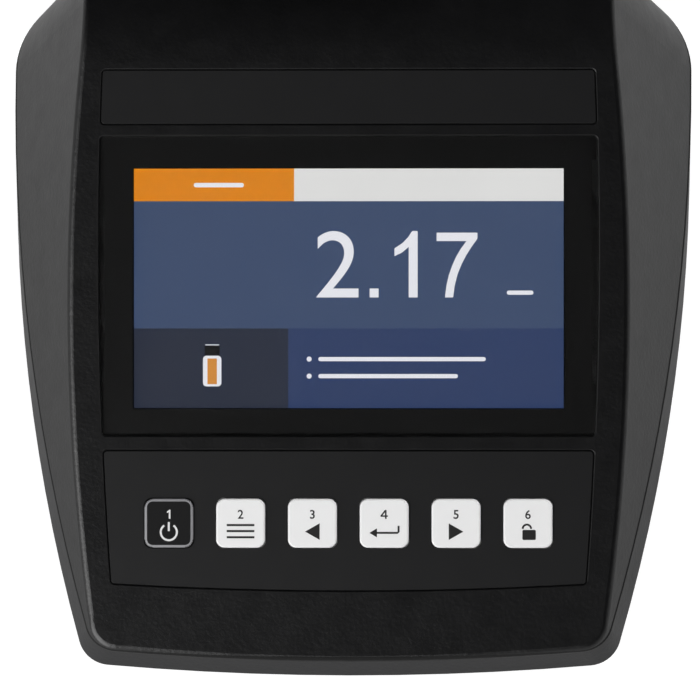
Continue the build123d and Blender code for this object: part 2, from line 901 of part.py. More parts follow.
def in_seat(turn, half, depth, solid):
    """Solid lying along a beam, with its inner end a given depth inside the block's side."""
    return at_well(0, 0, beam_height, Rot(0, 0, -turn) * Pos(half - depth, 0, 0) * Rot(0, 90, 0) * solid)


def lamp_lens():
    """Lens at the bottom of the lamp's seat."""
    turn, half = beam_ways()[0]
    return in_seat(turn, half, seat_depth, drum(lens_radius, lens_depth))


def lamp():
    """Infrared lamp in its sleeve, behind its lens."""
    body = drum(lamp_radius, lamp_length)
    body += Pos(0, 0, lamp_length - lamp_rim) * drum(detector_radius, lamp_rim)
    turn, half = beam_ways()[0]
    return in_seat(turn, half, lamp_length, body)


def detector(number):
    """Light detector can in its seat, by its number among the beam ways."""
    turn, half = beam_ways()[number]
    return in_seat(turn, half, seat_depth, drum(detector_radius, seat_depth))


def optics_boards():
    """Small upright boards over the lamp and the two detectors."""
    board = Box(board_thickness, optics_board_width, optics_board_width,
                align=(Align.MIN, Align.CENTER, Align.CENTER))
    return [at_well(0, 0, beam_height, Rot(0, 0, -turn) * Pos(half, 0, 0) * board)
            for turn, half in beam_ways()]


def well_pad():
    """Soft pad inside the ledge at the bottom of the vial well."""
    return at_well(0, 0, well_floor, drum(well_radius - pad_ledge - pad_play, pad_thickness))


def well_collar():
    """Flanged ring in the deck that leads the vial into the well."""
    height = deck_height - optics_top()
    ring = drum(collar_radius, height) + Pos(0, 0, height) * drum(collar_flange, collar_thickness)
    ring -= drum(well_radius + collar_relief, far)
    lead = Cone(well_radius + collar_relief, well_radius + collar_relief + collar_thickness,
                collar_thickness, align=(Align.CENTER, Align.CENTER, Align.MIN))
    ring -= Pos(0, 0, height) * lead
    return at_well(0, 0, optics_top(), ring)


def lid_cover():
    """Hollow lid with a hinge knuckle, a finger lip and two magnet bosses."""
    place = Pos(0, at(well_setback), lid_base)
    shell = rounded_slab(lid_width, lid_depth, lid_height, lid_corner)
    shell = fillet(shell.faces().sort_by(Axis.Z)[-1].edges(), lid_softness)
    hollow = rounded_slab(lid_width - 2 * lid_wall, lid_depth - 2 * lid_wall, lid_height - lid_wall,
                          lid_corner - lid_wall)
    lid = place * (shell - hollow)
    boss_height = lid_height - lid_wall - boss_lift
    for x, y in magnet_places():
        boss = drum(magnet_radius + lid_wall, boss_height) - drum(magnet_radius + magnet_play, magnet_thickness)
        lid += Pos(x, y, lid_base + boss_lift) * boss & place * shell
    knuckle = Pos(0, at(hinge_setback), hinge_z) * hinge_barrel(2 * knuckle_half)
    web = Box(2 * knuckle_half, hinge_setback - lid_rear + lid_wall / 2, hinge_radius + hinge_radius / 2,
              align=(Align.CENTER, Align.MAX, Align.CENTER))
    lid += knuckle + Pos(0, at(hinge_setback), hinge_z) * web
    lid -= hinge_bore(pin_radius + pin_play)
    lip = slab(lip_width, lip_reach + lid_wall, lip_thickness)
    lip_y = at(lid_front) + (lid_wall - lip_reach) / 2
    return lid + Pos(0, lip_y, lid_base) * lip


def lid_baffle():
    """Ring inside the lid that keeps light off the vial."""
    height = lid_height - lid_wall - seal_thickness
    ring = drum(baffle_radius + baffle_wall, height) - drum(baffle_radius, height)
    return at_well(0, 0, lid_base + seal_thickness, ring)


def lid_seal():
    """Foam ring on the foot of the baffle."""
    ring = drum(baffle_radius + baffle_wall, seal_thickness) - drum(baffle_radius, seal_thickness)
    return at_well(0, 0, lid_base, ring)


def lid_magnets():
    """Magnets in the lid's bosses."""
    return [Pos(x, y, lid_base + boss_lift) * drum(magnet_radius, magnet_thickness) for x, y in magnet_places()]


def catch_magnets():
    """Magnets in the deck under those of the lid."""
    return [Pos(x, y, deck_height - magnet_thickness) * drum(magnet_radius, magnet_thickness)
            for x, y in magnet_places()]


def hinge_pin():
    """Steel pin through the ears and the knuckle."""
    length = 2 * (knuckle_half + ear_gap + ear_width)
    return Pos(0, at(hinge_setback), hinge_z) * Rot(0, 90, 0) * Cylinder(pin_radius, length)


def port_panel():
    """Plate in the rear window with an opening for each port."""
    play = 2 * port_play
    plate = slab(port_panel_width - play, port_panel_thickness, port_panel_height - play)
    plate = Pos(port_centre, rear_port_y() - port_panel_thickness / 2, port_panel_base + port_play) * plate
    jack = drum(jack_nose_radius + port_play, 4 * port_panel_thickness)
    plate -= Pos(jack_x(), rear_port_y() + port_panel_thickness, jack_axis_z()) * Rot(90, 0, 0) * jack
    socket = slab(usb_width + play, 4 * port_panel_thickness, usb_height + play)
    return plate - Pos(usb_x(), rear_port_y(), port_board_top() - port_play) * socket


def rear_port_y():
    """World Y of the outer skin of the port panel."""
    return at(overall_depth) - panel_sink


def jack_x():
    """X of the power socket."""
    return port_centre - port_spacing / 2


def usb_x():
    """X of the data socket."""
    return port_centre + port_spacing / 2


def port_board_top():
    """Height of the top of the port board."""
    return port_board_height + board_thickness


def jack_axis_z():
    """Height of the axis of the power socket."""
    return port_board_top() + jack_height / 2


def port_board():
    """Small board behind the port panel."""
    board = slab(port_panel_width, port_board_depth, board_thickness)
    board = Pos(port_centre, port_board_centre(), port_board_height) * board
    for x, y in port_board_holes():
        board -= Pos(x, y, port_board_height) * drum(screw_radius, board_thickness)
    return board


def dc_jack():
    """Power socket: body, round nose with its bore, and centre pin."""
    inner_y = rear_port_y() - port_panel_thickness - port_play
    body = slab(jack_width, jack_length, jack_height)
    body = Pos(jack_x(), inner_y - jack_length / 2, port_board_top()) * body
    axis = Pos(jack_x(), rear_port_y(), jack_axis_z()) * Rot(90, 0, 0)
    bore_depth = jack_length - 2 * jack_wall
    body += axis * drum(jack_nose_radius, port_panel_thickness + port_play + jack_wall)
    body -= axis * drum(jack_bore, bore_depth)
    return body + axis * Pos(0, 0, jack_wall) * drum(jack_pin, bore_depth)


def usb_port():
    """Square data socket: sheet shell with a tongue inside."""
    length = usb_length
    shell = slab(usb_width, length, usb_height)
    inside = slab(usb_width - 2 * usb_shell, length, usb_height - 2 * usb_shell)
    shell -= Pos(0, usb_shell, usb_shell) * inside
    tongue = slab(usb_tongue_width, length - 2 * usb_shell, usb_tongue_height)
    shell += Pos(0, -usb_shell, (usb_height - usb_tongue_height) / 2) * tongue
    return Pos(usb_x(), rear_port_y() - length / 2, port_board_top()) * shell


def feet():
    """Four rubber feet in their pockets."""
    height = foot_height + foot_sink
    foot = Cone(foot_radius - foot_taper, foot_radius - foot_play, height,
                align=(Align.CENTER, Align.CENTER, Align.MIN))
    return [Pos(side * x, at(setback), 0) * foot for side in (-1, 1) for x, setback in foot_places]


def case_screws():
    """Screws that close the housing from below."""
    seat = foot_height + case_head_sink - sleeve_wall
    screw = Pos(0, 0, seat - screw_head_height) * drum(case_head_radius, screw_head_height)
    screw += Pos(0, 0, seat) * drum(case_screw_radius - screw_play, parting_height + wall - seat)
    screw -= Pos(0, 0, seat - screw_head_height) * slab(driver_slot, far, driver_depth)
    return [Pos(x, y, 0) * screw for x, y in case_posts()]


def board_screw():
    """Small screw with its head on Z 0 and its shank below."""
    head = drum(screw_head_radius, screw_head_height)
    head -= Pos(0, 0, screw_head_height - driver_depth) * slab(driver_slot, far, driver_depth)
    length = board_thickness + screw_bite
    return head + Pos(0, 0, -length) * drum(screw_radius - 2 * screw_play, length)


def board_screws():
    """Screws of the main board, the port board and the keypad board."""
    main = [Pos(x, y, main_board_height + board_thickness) * board_screw() for x, y in main_board_holes()]
    port = [Pos(x, y, port_board_top()) * board_screw() for x, y in port_board_holes()]
    under = keypad_board_top - board_thickness
    keypad = [on_face(x, slope, under) * Rot(180, 0, 0) * board_screw() for x, slope in keypad_boss_places()]
    return main + port + keypad


def optics_screws():
    """Screws through the feet of the optics block."""
    top = optics_base + optics_foot_thickness
    return [Pos(x, y, top) * board_screw() for x, y in optics_holes()]


parts = {
    "top_cover": top_cover(),
    "bottom_case": bottom_case(),
    "name_strip": name_strip(),
    "display_lens": display_lens(),
    "lens_gasket": lens_gasket(),
    "lcd_frame": lcd_frame(),
    "lcd_panel": lcd_panel(),
    "display_rails": display_rails(),
    "display_ribbon": display_ribbon(),
    "keypad_panel": keypad_panel(),
    "key_domes": key_domes(),
    "keypad_board": keypad_board(),
    "keypad_ribbon": keypad_ribbon(),
    "main_board": main_board(),
    "board_chips": board_chips(),
    "board_capacitors": board_capacitors(),
    "clock_cell_holder": clock_cell_holder(),
    "clock_cell": clock_cell(),
    "beeper": beeper(),
    "optics_block": optics_block(),
    "lamp_lens": lamp_lens(),
    "lamp": lamp(),
    "scatter_detector": detector(1),
    "transmission_detector": detector(2),
    "optics_boards": optics_boards(),
    "well_pad": well_pad(),
    "well_collar": well_collar(),
    "lid_cover": lid_cover(),
    "lid_baffle": lid_baffle(),
    "lid_seal": lid_seal(),
    "lid_magnets": lid_magnets(),
    "catch_magnets": catch_magnets(),
    "hinge_pin": hinge_pin(),
    "port_panel": port_panel(),
    "port_board": port_board(),
    "dc_jack": dc_jack(),
    "usb_port": usb_port(),
    "feet": feet(),
    "case_screws": case_screws(),
    "board_screws": board_screws(),
    "optics_screws": optics_screws(),
}
for name, x in zip(key_names, key_places()):
    parts[name] = key(x)

os.makedirs("parts", exist_ok=True)
for name, solid in parts.items():
    if isinstance(solid, list):
        solid = Compound(children=solid)
    export_step(solid, "parts/" + name + ".step")
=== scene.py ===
import json
import math

import bmesh
import bpy
from mathutils import Matrix, Vector


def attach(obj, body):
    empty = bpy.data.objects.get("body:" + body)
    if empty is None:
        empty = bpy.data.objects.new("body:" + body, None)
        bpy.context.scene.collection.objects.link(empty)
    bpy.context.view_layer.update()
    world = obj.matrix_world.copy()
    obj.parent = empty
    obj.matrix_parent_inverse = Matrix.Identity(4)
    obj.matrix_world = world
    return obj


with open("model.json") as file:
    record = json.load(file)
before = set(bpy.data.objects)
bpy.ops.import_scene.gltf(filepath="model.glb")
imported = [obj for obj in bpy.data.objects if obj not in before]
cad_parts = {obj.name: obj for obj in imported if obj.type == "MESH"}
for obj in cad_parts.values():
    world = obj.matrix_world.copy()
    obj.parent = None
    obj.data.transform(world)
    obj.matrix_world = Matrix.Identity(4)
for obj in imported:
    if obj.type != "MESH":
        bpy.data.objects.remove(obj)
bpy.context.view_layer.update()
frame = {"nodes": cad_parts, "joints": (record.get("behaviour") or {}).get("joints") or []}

# Bench turbidity meter, dressed. The scene is in metres, and MM turns millimetres to metres.
# Outlines of print and of the lit picture are in millimetres until they are laid on the face.
# On the inclined face, x is to the right, slope runs up the face and level along its normal.

MM = 0.001
RIGHT = Vector((1, 0, 0))
KEY_JOINT = next(joint for joint in frame["joints"] if joint["name"] == "key_power_press")
NORMAL = -Vector(KEY_JOINT["axis"]).normalized()
UPHILL = NORMAL.cross(RIGHT)
HOUSING = "housing"
INK = 0.03 * MM


def span(node, direction):
    """Lowest and highest reach of a CAD node along a direction."""
    reaches = [vertex.co.dot(direction) for vertex in frame["nodes"][node].data.vertices]
    return min(reaches), max(reaches)


def middle(node, direction):
    """Middle of a CAD node along a direction."""
    low, high = span(node, direction)
    return (low + high) / 2


# Materials


def linear(hex_colour):
    """Linear red, green, blue and alpha of an sRGB hex colour."""
    channels = [int(hex_colour[start:start + 2], 16) / 255 for start in (1, 3, 5)]
    return [c / 12.92 if c <= 0.04045 else ((c + 0.055) / 1.055) ** 2.4 for c in channels] + [1.0]


def add_node(tree, kind, settings=None, values=None, links=None):
    """Adds a node with its settings and socket values, and links sockets to its inputs."""
    node = tree.nodes.new(kind)
    for name, value in (settings or {}).items():
        setattr(node, name, value)
    for name, value in (values or {}).items():
        node.inputs[name].default_value = value
    for name, source in (links or {}).items():
        tree.links.new(source, node.inputs[name])
    return node


def start_material(name):
    """Empty node material, its tree, its output node and the object's own coordinates."""
    material = bpy.data.materials.new(name)
    material.use_nodes = True
    tree = material.node_tree
    tree.nodes.clear()
    output = add_node(tree, "ShaderNodeOutputMaterial")
    place = add_node(tree, "ShaderNodeTexCoord").outputs["Object"]
    return material, tree, output, place


# A moulding cools unevenly, which leaves patches of about this size in its gloss
GLOSS_CLOUD = 9 * MM


def moulded_plastic(name, colour, roughness, grain_mm, grain_depth_mm, mottle=0.12, ior=1.53):
    """Injection-moulded plastic: spark-eroded grain from the tool, and a cloudy gloss."""
    material, tree, output, place = start_material(name)
    grain = add_node(tree, "ShaderNodeTexNoise",
                     values={"Scale": 1 / (grain_mm * MM), "Detail": 3.0}, links={"Vector": place})
    bump = add_node(tree, "ShaderNodeBump",
                    values={"Strength": 1.0, "Distance": grain_depth_mm * MM},
                    links={"Height": grain.outputs["Fac"]})
    cloud = add_node(tree, "ShaderNodeTexNoise",
                     values={"Scale": 1 / GLOSS_CLOUD, "Detail": 5.0, "Roughness": 0.65},
                     links={"Vector": place})
    gloss = add_node(tree, "ShaderNodeMapRange",
                     values={"To Min": roughness - mottle / 2, "To Max": roughness + mottle / 2},
                     links={"Value": cloud.outputs["Fac"]})
    surface = add_node(tree, "ShaderNodeBsdfPrincipled",
                       values={"Base Color": linear(colour), "IOR": ior},
                       links={"Roughness": gloss.outputs["Result"],
                              "Normal": bump.outputs["Normal"]})
    tree.links.new(surface.outputs["BSDF"], output.inputs["Surface"])
    return material


# Polished acrylic is a little less sharp in some places than in others
POLISH_WAVE = 60 * MM


def clear_acrylic():
    """Polished acrylic sheet: clear, with sharp reflections."""
    material, tree, output, place = start_material("clear_acrylic_polished")
    wave = add_node(tree, "ShaderNodeTexNoise", values={"Scale": 1 / POLISH_WAVE},
                    links={"Vector": place})
    gloss = add_node(tree, "ShaderNodeMapRange", values={"To Min": 0.02, "To Max": 0.05},
                     links={"Value": wave.outputs["Fac"]})
    surface = add_node(tree, "ShaderNodeBsdfPrincipled",
                       values={"Base Color": linear("#ffffff"), "IOR": 1.49,
                               "Transmission Weight": 1.0},
                       links={"Roughness": gloss.outputs["Result"]})
    tree.links.new(surface.outputs["BSDF"], output.inputs["Surface"])
    return material


# The light behind the display spreads unevenly, by this share and over this size
BACKLIGHT_DRIFT = 0.03
BACKLIGHT_PATCH = 30 * MM


def screen_light(name, colour):
    """Lit liquid crystal: glows in its colour, almost evenly."""
    material, tree, output, place = start_material("screen_light_" + name)
    spread = add_node(tree, "ShaderNodeTexNoise", values={"Scale": 1 / BACKLIGHT_PATCH},
                      links={"Vector": place})
    level = add_node(tree, "ShaderNodeMapRange",
                     values={"To Min": 1 - BACKLIGHT_DRIFT, "To Max": 1 + BACKLIGHT_DRIFT},
                     links={"Value": spread.outputs["Fac"]})
    surface = add_node(tree, "ShaderNodeBsdfPrincipled",
                       values={"Base Color": linear("#000000"), "Roughness": 0.6,
                               "Emission Color": linear(colour)},
                       links={"Emission Strength": level.outputs["Result"]})
    tree.links.new(surface.outputs["BSDF"], output.inputs["Surface"])
    return material


# A streak of rolled, drawn or ground metal is this many times as long as it is wide
STREAK_LENGTH = 10


def metal(name, colour, roughness, streak_mm):
    """Rolled, drawn or plated metal: mirrors what is round it, with fine streaks in the gloss."""
    material, tree, output, place = start_material(name)
    stretch = add_node(tree, "ShaderNodeMapping", values={"Scale": (1 / STREAK_LENGTH, 1.0, 1.0)},
                       links={"Vector": place})
    streak = add_node(tree, "ShaderNodeTexNoise",
                      values={"Scale": 1 / (streak_mm * MM), "Detail": 2.0},
                      links={"Vector": stretch.outputs["Vector"]})
    gloss = add_node(tree, "ShaderNodeMapRange",
                     values={"To Min": roughness * 0.8, "To Max": roughness * 1.25},
                     links={"Value": streak.outputs["Fac"]})
    surface = add_node(tree, "ShaderNodeBsdfPrincipled",
                       values={"Base Color": linear(colour), "Metallic": 1.0},
                       links={"Roughness": gloss.outputs["Result"]})
    tree.links.new(surface.outputs["BSDF"], output.inputs["Surface"])
    return material


PORE_DEPTH = 0.1 * MM


def rubber(name, colour, pore_mm):
    """Moulded rubber or foam: matt, with fine pores."""
    material, tree, output, place = start_material(name)
    pores = add_node(tree, "ShaderNodeTexVoronoi", values={"Scale": 1 / (pore_mm * MM)},
                     links={"Vector": place})
    bump = add_node(tree, "ShaderNodeBump", values={"Strength": 0.4, "Distance": PORE_DEPTH},
                    links={"Height": pores.outputs["Distance"]})
    surface = add_node(tree, "ShaderNodeBsdfPrincipled",
                       values={"Base Color": linear(colour), "Roughness": 0.85, "IOR": 1.52},
                       links={"Normal": bump.outputs["Normal"]})
    tree.links.new(surface.outputs["BSDF"], output.inputs["Surface"])
    return material


# A film of ink dries with a gloss that differs by this much, over patches of this size
INK_DRIFT = 0.05
INK_PATCH = 0.6 * MM


def printed_ink(name, colour, roughness=0.45):
    """Screen-printed ink: flat colour with a slightly uneven film."""
    material, tree, output, place = start_material(name)
    film = add_node(tree, "ShaderNodeTexNoise", values={"Scale": 1 / INK_PATCH},
                    links={"Vector": place})
    gloss = add_node(tree, "ShaderNodeMapRange",
                     values={"To Min": roughness - INK_DRIFT, "To Max": roughness + INK_DRIFT},
                     links={"Value": film.outputs["Fac"]})
    surface = add_node(tree, "ShaderNodeBsdfPrincipled",
                       values={"Base Color": linear(colour), "IOR": 1.5},
                       links={"Roughness": gloss.outputs["Result"]})
    tree.links.new(surface.outputs["BSDF"], output.inputs["Surface"])
    return material


# ABS from a spark-eroded tool: near black and satin, with soft, broad highlights on its edges.
# The real grain of about 0.15 mm is too fine to show, so it is drawn ten times as coarse.
ABS_FACE = moulded_plastic("abs_black_spark_eroded", "#0c0c0d", 0.35, 1.5, 0.08, mottle=0.16)
ABS_BASE = moulded_plastic("abs_charcoal_spark_eroded", "#111113", 0.40, 1.5, 0.08, mottle=0.14)
# Satin polyester film: smoother and a shade paler than the housing, so that each panel shows.
# Its matt coat is far finer than it is drawn.
POLYESTER = moulded_plastic("polyester_film_satin_black", "#131314", 0.38, 1.5, 0.006,
                            mottle=0.05, ior=1.57)
# Silicone keys: smooth and waxy, white a little short of paper, and black about as the panel.
SILICONE_WHITE = moulded_plastic("silicone_white_satin", "#efefef", 0.45, 0.8, 0.006,
                                 mottle=0.05, ior=1.41)
SILICONE_BLACK = moulded_plastic("silicone_black_satin", "#0a0a0b", 0.45, 0.8, 0.006,
                                 mottle=0.05, ior=1.41)
# Black polycarbonate: matt, so that the well and the optics throw little light back.
POLYCARBONATE = moulded_plastic("polycarbonate_black_moulded", "#111112", 0.55, 0.9, 0.02)
# Black nylon of sockets, holders and chips: dull and slightly greyer.
NYLON = moulded_plastic("nylon_black_moulded", "#1a1a1b", 0.5, 0.9, 0.02)
# Glass epoxy under green lacquer: shiny, and faintly uneven from its weave of about 0.6 mm,
# which is drawn four times as coarse.
LAMINATE = moulded_plastic("glass_epoxy_green_lacquered", "#0f5a32", 0.3, 2.4, 0.02, ior=1.5)
# Ribbon film: cream, smooth and slightly shiny.
FILM = moulded_plastic("polyimide_film_ribbon", "#d9d4c4", 0.35, 2.0, 0.01)
# Lens, lamp and lamp lens: clear, with a sharp glint on the surface.
ACRYLIC = clear_acrylic()
# Black print behind the lens: an even black without grain, under the gloss of the acrylic.
LENS_PRINT = printed_ink("acrylic_back_print_black", "#040405", 0.35)
# Display glass where it is dark: blue-black and shiny.
GLASS_OFF = printed_ink("display_glass_unlit", "#0a0d14", 0.12)
# Metals: greys that differ in shine and tint. Their streaks of about 0.1 mm are drawn 8 to 15
# times as wide, so that they show.
STEEL = metal("steel_sheet_zinc_plated", "#b9bcc0", 0.32, 1.5)
STEEL_BRIGHT = metal("steel_ground_bright", "#d0d2d4", 0.16, 0.8)
STEEL_BLACK = metal("steel_screw_black_oxide", "#3a3b3d", 0.38, 0.8)
ALUMINIUM = metal("aluminium_can_drawn", "#c9cbcd", 0.28, 1.2)
NICKEL = metal("nickel_plated_can", "#c4bfb2", 0.22, 1.0)
# Seals and feet: no shine. The foam's cells of 0.3 mm are drawn three times as wide, and the
# rubber's pores are finer still.
FOAM = rubber("polyurethane_foam_black", "#161617", 0.9)
RUBBER = rubber("rubber_moulded_black", "#1b1b1b", 1.4)
# Painted shadow at the parting: a near-black strip laid on the outer wall, standing in for the
# shade of a narrow gap there.
PAINTED_PARTING_SHADOW = printed_ink("parting_painted_shadow_black", "#020202", 0.9)
# Inks of the keys: flat, dark on the white keys and pale on the black one.
INK_DARK = printed_ink("key_ink_black", "#1c1c1c")
INK_LIGHT = printed_ink("key_ink_pale_grey", "#e2e2e2")
# Grey for the soft edge of the black key: a painted highlight, where the rounding of the edge
# catches light.
PAINTED_EDGE_HIGHLIGHT = printed_ink("key_edge_painted_highlight_grey", "#8f8f92")

NODE_MATERIALS = {
    "top_cover": ABS_FACE, "lid_cover": ABS_FACE, "bottom_case": ABS_BASE,
    "name_strip": POLYESTER, "keypad_panel": POLYESTER, "port_panel": POLYCARBONATE,
    "well_collar": POLYCARBONATE, "lid_baffle": POLYCARBONATE, "optics_block": POLYCARBONATE,
    "display_lens": ACRYLIC, "lcd_panel": GLASS_OFF, "lcd_frame": STEEL, "display_rails": STEEL,
    "lens_gasket": FOAM, "lid_seal": FOAM, "well_pad": RUBBER, "feet": RUBBER,
    "key_power": SILICONE_BLACK, "key_list": SILICONE_WHITE, "key_left": SILICONE_WHITE,
    "key_enter": SILICONE_WHITE, "key_right": SILICONE_WHITE, "key_lock": SILICONE_WHITE,
    "key_domes": STEEL_BRIGHT, "keypad_board": LAMINATE, "main_board": LAMINATE,
    "optics_boards": LAMINATE, "port_board": LAMINATE, "display_ribbon": FILM,
    "keypad_ribbon": FILM, "board_chips": NYLON, "beeper": NYLON, "clock_cell_holder": NYLON,
    "dc_jack": NYLON, "board_capacitors": ALUMINIUM, "clock_cell": STEEL_BRIGHT,
    "hinge_pin": STEEL_BRIGHT, "lid_magnets": STEEL_BRIGHT, "catch_magnets": STEEL_BRIGHT,
    "usb_port": STEEL, "lamp": ACRYLIC, "lamp_lens": ACRYLIC, "scatter_detector": NICKEL,
    "transmission_detector": NICKEL, "case_screws": STEEL_BLACK, "board_screws": STEEL,
    "optics_screws": STEEL,
}
for node_name, node_object in frame["nodes"].items():
    node_object.data.materials.clear()
    node_object.data.materials.append(NODE_MATERIALS[node_name])


# Outlines in millimetres, in the plane of the face


def arc(centre_x, centre_y, radius, start, finish, steps):
    """Points along an arc, with angles in degrees."""
    turns = [math.radians(start + (finish - start) * step / steps) for step in range(steps + 1)]
    return [(centre_x + radius * math.cos(turn), centre_y + radius * math.sin(turn))
            for turn in turns]


def rounded(x, y, width, height, corner, steps=6):
    """Loop of a rectangle with rounded corners, centred on x, y."""
    half_x = width / 2 - corner
    half_y = height / 2 - corner
    loop = []
    for turn, side_x, side_y in ((0, 1, 1), (90, -1, 1), (180, -1, -1), (270, 1, -1)):
        loop += arc(x + side_x * half_x, y + side_y * half_y, corner, turn, turn + 90, steps)
    return loop


def bar(x, y, width, height):
    """Loop of a plain rectangle centred on x, y."""
    half_x = width / 2
    half_y = height / 2
    return [(x - half_x, y - half_y), (x + half_x, y - half_y),
            (x + half_x, y + half_y), (x - half_x, y + half_y)]


def band(x, y, radius, width, start, finish, steps=24):
    """Loop of a curved stroke along part of a circle."""
    outer = arc(x, y, radius + width / 2, start, finish, steps)
    inner = arc(x, y, radius - width / 2, finish, start, steps)
    return outer + inner


def lay_flat(name, curve, x, slope, level, material, body):
    """Turns a flat curve or text into a mesh piece that lies on the face and rides on a body."""
    holder = bpy.data.objects.new(name + "_outline", curve)
    bpy.context.scene.collection.objects.link(holder)
    bpy.context.view_layer.update()
    shape = holder.evaluated_get(bpy.context.evaluated_depsgraph_get())
    mesh = bpy.data.meshes.new_from_object(shape)
    bpy.data.objects.remove(holder)
    axes = Matrix((RIGHT, UPHILL, NORMAL)).transposed().to_4x4()
    place = RIGHT * x + UPHILL * slope + NORMAL * level
    mesh.transform(Matrix.Translation(place) @ axes)
    mesh.materials.clear()
    mesh.materials.append(material)
    mesh.name = name
    piece = bpy.data.objects.new(name, mesh)
    bpy.context.scene.collection.objects.link(piece)
    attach(piece, body)
    return piece


def inlay(name, loops, x, slope, level, material, body):
    """Film of ink from flat loops, laid on the face at a level; inner loops are holes."""
    curve = bpy.data.curves.new(name, "CURVE")
    curve.dimensions = "2D"
    curve.fill_mode = "BOTH"
    curve.extrude = INK / 2
    for loop in loops:
        spline = curve.splines.new("POLY")
        spline.points.add(len(loop) - 1)
        for point, (across, up) in zip(spline.points, loop):
            point.co = (across * MM, up * MM, 0, 1)
        spline.use_cyclic_u = True
    return lay_flat(name, curve, x, slope, level + INK / 2, material, body)


def figures(name, text, centre, low, height, x, slope, level, material, body,
            width=None, weight=0.0):
    """Plain figures, as high as asked, round a middle and up from a foot in millimetres."""
    curve = bpy.data.curves.new(name, "FONT")
    curve.body = text
    curve.extrude = 0
    curve.size = 1.0
    curve.offset = weight
    piece = lay_flat(name, curve, 0, 0, 0, material, body)
    across = [vertex.co.dot(RIGHT) for vertex in piece.data.vertices]
    up = [vertex.co.dot(UPHILL) for vertex in piece.data.vertices]
    tall = height * MM / (max(up) - min(up))
    wide = width * MM / (max(across) - min(across)) if width else tall
    half_seen = (min(across) + max(across)) / 2
    for vertex, seen_x, seen_up in zip(piece.data.vertices, across, up):
        place_x = x + centre * MM + (seen_x - half_seen) * wide
        place_up = slope + low * MM + (seen_up - min(up)) * tall
        vertex.co = RIGHT * place_x + UPHILL * place_up + NORMAL * level
    return piece


# Display: a printed border behind the lens, and the lit picture on the panel.
# The picture's places are counted from the lower left corner of the screen.

SCREEN_WIDTH = 154.08
SCREEN_HEIGHT = 85.92
HEADER_LOW = SCREEN_HEIGHT - 11.7
HEADER_SPLIT = 57.5
FOOTER_HIGH = 28.6
FOOTER_SPLIT = 55.4
SCREEN_SLOPE = middle("lcd_panel", UPHILL)
SCREEN_LEFT = -SCREEN_WIDTH * MM / 2
SCREEN_LOW = SCREEN_SLOPE - SCREEN_HEIGHT * MM / 2
PANEL_TOP = span("lcd_panel", NORMAL)[1]

BORDER_SIDE_INSET = 2.0
BORDER_END_INSET = 0.8
BORDER_CORNER = 1.2
BORDER_LIFT = 0.05
WINDOW_MARGIN = 0.25
WINDOW_CORNER = 0.6


def lens_border():
    """Black print on the back of the lens, round a clear window."""
    low, high = span("display_lens", UPHILL)
    half = span("display_lens", RIGHT)[1]
    level = span("display_lens", NORMAL)[0] + BORDER_LIFT * MM
    outer = rounded(0, ((low + high) / 2 - SCREEN_SLOPE) / MM,
                    2 * (half / MM - BORDER_SIDE_INSET),
                    (high - low) / MM - 2 * BORDER_END_INSET, BORDER_CORNER)
    window = rounded(0, 0, SCREEN_WIDTH + 2 * WINDOW_MARGIN, SCREEN_HEIGHT + 2 * WINDOW_MARGIN,
                     WINDOW_CORNER)
    border = inlay("lens_border_print", [outer, window], 0, SCREEN_SLOPE, level, LENS_PRINT,
                   HOUSING)


def show(name, loops, light, layer):
    """Part of the lit picture, on one of the thin layers over the panel."""
    inlay("screen_" + name, loops, SCREEN_LEFT, SCREEN_LOW, PANEL_TOP + layer * INK, light,
          HOUSING)


def lit_picture():
    """Header, reading field, vial field and note field of the picture."""
    for name, left, right, low, high, colour in (
            ("header_amber", 0, HEADER_SPLIT, HEADER_LOW, SCREEN_HEIGHT, "#dc8416"),
            ("header_pale", HEADER_SPLIT, SCREEN_WIDTH, HEADER_LOW, SCREEN_HEIGHT, "#e0e0df"),
            ("reading_field", 0, SCREEN_WIDTH, FOOTER_HIGH, HEADER_LOW, "#3c4c6b"),
            ("vial_field", 0, FOOTER_SPLIT, 0, FOOTER_HIGH, "#262c3c"),
            ("note_field", FOOTER_SPLIT, SCREEN_WIDTH, 0, FOOTER_HIGH, "#2d3d63")):
        field = bar((left + right) / 2, (low + high) / 2, right - left, high - low)
        show(name, [field], screen_light(name, colour), 0)


# Figures of the reading: a flag on the one, and a bowed stem on the seven
READING_LOW = 39.7
READING_HEIGHT = 23.8
FIGURE_TWO_MIDDLE = 73.05
FIGURE_TWO_WIDTH = 15.1
FIGURE_ONE = [(98.6, 39.7), (101.8, 39.7), (101.8, 63.5), (99.8, 63.5), (98.4, 61.3),
              (96.4, 59.2), (93.5, 57.3), (93.5, 54.5), (96.2, 55.8), (98.6, 57.8)]
FIGURE_SEVEN = [(108.6, 62.9), (123.2, 62.9), (123.2, 60.7), (121.1, 57.8), (119.2, 54.8),
                (117.5, 51.5), (116.1, 48.0), (115.1, 44.1), (114.5, 39.7), (111.6, 39.7),
                (112.1, 43.9), (113.0, 47.8), (114.2, 51.2), (115.6, 54.3), (117.3, 57.2),
                (119.3, 59.9), (108.6, 59.9)]
POINT = bar(86.2, 41.3, 3.2, 3.2)

# Plain lines: one after the reading, one in the header, and two in the footer with their dots
UNIT_LINE = rounded(138.5, 41.4, 9.5, 1.5, 0.7)
TITLE_LINE = rounded(30.5, 80.0, 18.0, 1.6, 0.75)
NOTE_DOT_X = 62.9
NOTE_DOT_SIZE = 1.8
NOTE_DOT_CORNER = 0.88
NOTE_LEFT = 66.2
NOTE_HEIGHT = 1.5
NOTE_CORNER = 0.7
NOTE_ROWS = ((17.6, 60.0), (11.5, 50.0))

# Vial sign: outline, sample, cap and the rim over the cap
VIAL_X = 28.1
VIAL_BODY = rounded(VIAL_X, 13.3, 6.6, 11.0, 1.3)
VIAL_FILL = bar(VIAL_X, 13.2, 3.4, 9.2)
VIAL_CAP = rounded(VIAL_X, 20.8, 5.2, 3.8, 0.5)
VIAL_RIM = bar(VIAL_X, 22.7, 5.0, 0.35)


